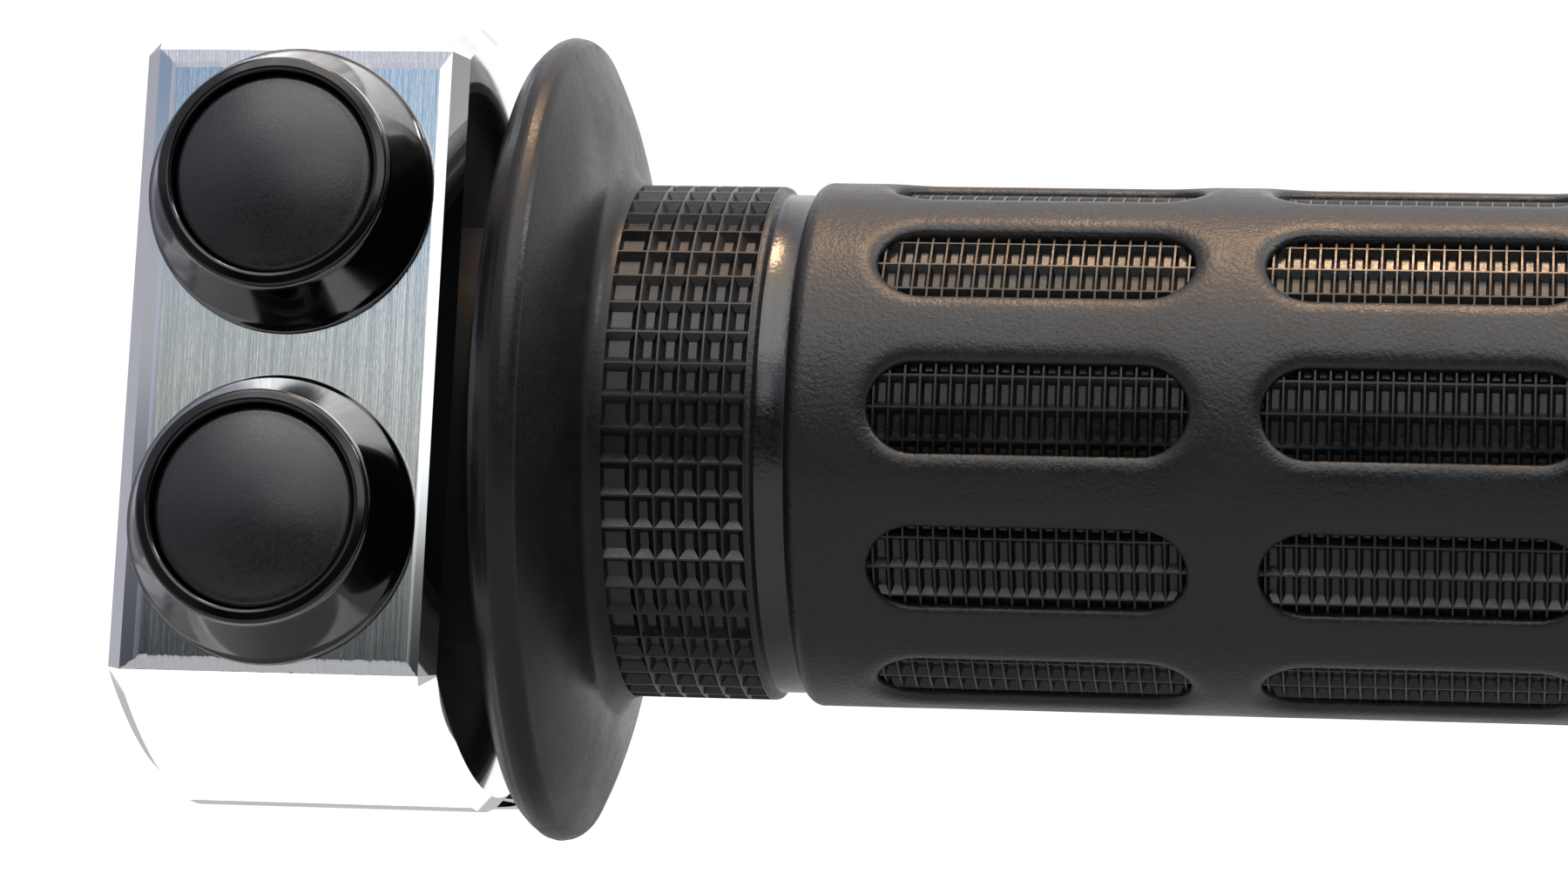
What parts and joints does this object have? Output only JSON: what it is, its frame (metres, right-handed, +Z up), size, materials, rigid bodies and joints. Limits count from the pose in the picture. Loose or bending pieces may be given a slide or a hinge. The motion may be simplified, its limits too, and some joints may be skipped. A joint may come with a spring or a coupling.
{
  "type": "throttle grip",
  "caption": "Twist throttle grip for a handlebar, with a clamp-on housing, raised push buttons, a wide rubber flange, a knurled collar and windowed rubber.",
  "frame": {"origin": "on the handlebar's axis, in the plane of the rubber flange's widest circle", "axes": "+X outboard along the handlebar, +Y forward, away from the rider, +Z up; the switch face looks back along -Y and 10 degrees up"},
  "size_m": [0.1328, 0.0491, 0.0485],
  "materials": {
    "polished_aluminium": "polished, with fine upright brush marks on the switch face",
    "screw_steel": "zinc-plated steel",
    "washer_bronze": "plain turned bronze",
    "tube_nylon": "moulded nylon",
    "grip_rubber": "satin moulded rubber",
    "bezel_gloss": "high gloss black",
    "seal_rubber": "soft seal",
    "cap_plastic": "fine-grained satin black",
    "contact_brass": "bright brass",
    "spring_steel": "spring wire",
    "switch_plastic": "moulded phenolic"
  },
  "bodies": {
    "root": {"front_housing": "polished_aluminium", "rear_housing": "polished_aluminium", "clamp_screw_upper": "screw_steel", "clamp_screw_lower": "screw_steel", "grub_screw": "screw_steel", "dowel_upper": "screw_steel", "dowel_lower": "screw_steel", "thrust_washer": "washer_bronze", "top_bezel": "bezel_gloss", "top_bezel_seal": "seal_rubber", "top_return_spring": "spring_steel", "top_switch_body": "switch_plastic", "top_terminal_upper": "contact_brass", "top_terminal_lower": "contact_brass", "lower_bezel": "bezel_gloss", "lower_bezel_seal": "seal_rubber", "lower_return_spring": "spring_steel", "lower_switch_body": "switch_plastic", "lower_terminal_upper": "contact_brass", "lower_terminal_lower": "contact_brass"},
    "grip": {"throttle_tube": "tube_nylon", "cable_wheel": "tube_nylon", "grip_rubber": "grip_rubber", "grip_flange": "grip_rubber"},
    "top_button": {"top_button": "cap_plastic", "top_contact_bridge": "contact_brass"},
    "lower_button": {"lower_button": "cap_plastic", "lower_contact_bridge": "contact_brass"}
  },
  "joints": [
    {"name": "throttle_turn", "type": "hinge", "parent": "root", "child": "grip", "pos_m": [0, 0, 0], "axis": [1, 0, 0], "range_deg": [0, 80]},
    {"name": "top_button_press", "type": "slide", "parent": "root", "child": "top_button", "axis": [0, 0.9843, -0.1767], "range_m": [0, 0.0012], "stiffness_N_per_m": 800, "springref_m": -0.0008, "deforming": ["top_return_spring"]},
    {"name": "lower_button_press", "type": "slide", "parent": "root", "child": "lower_button", "axis": [0, 0.9843, -0.1767], "range_m": [0, 0.0012], "stiffness_N_per_m": 800, "springref_m": -0.0008, "deforming": ["lower_return_spring"]}
  ]
}
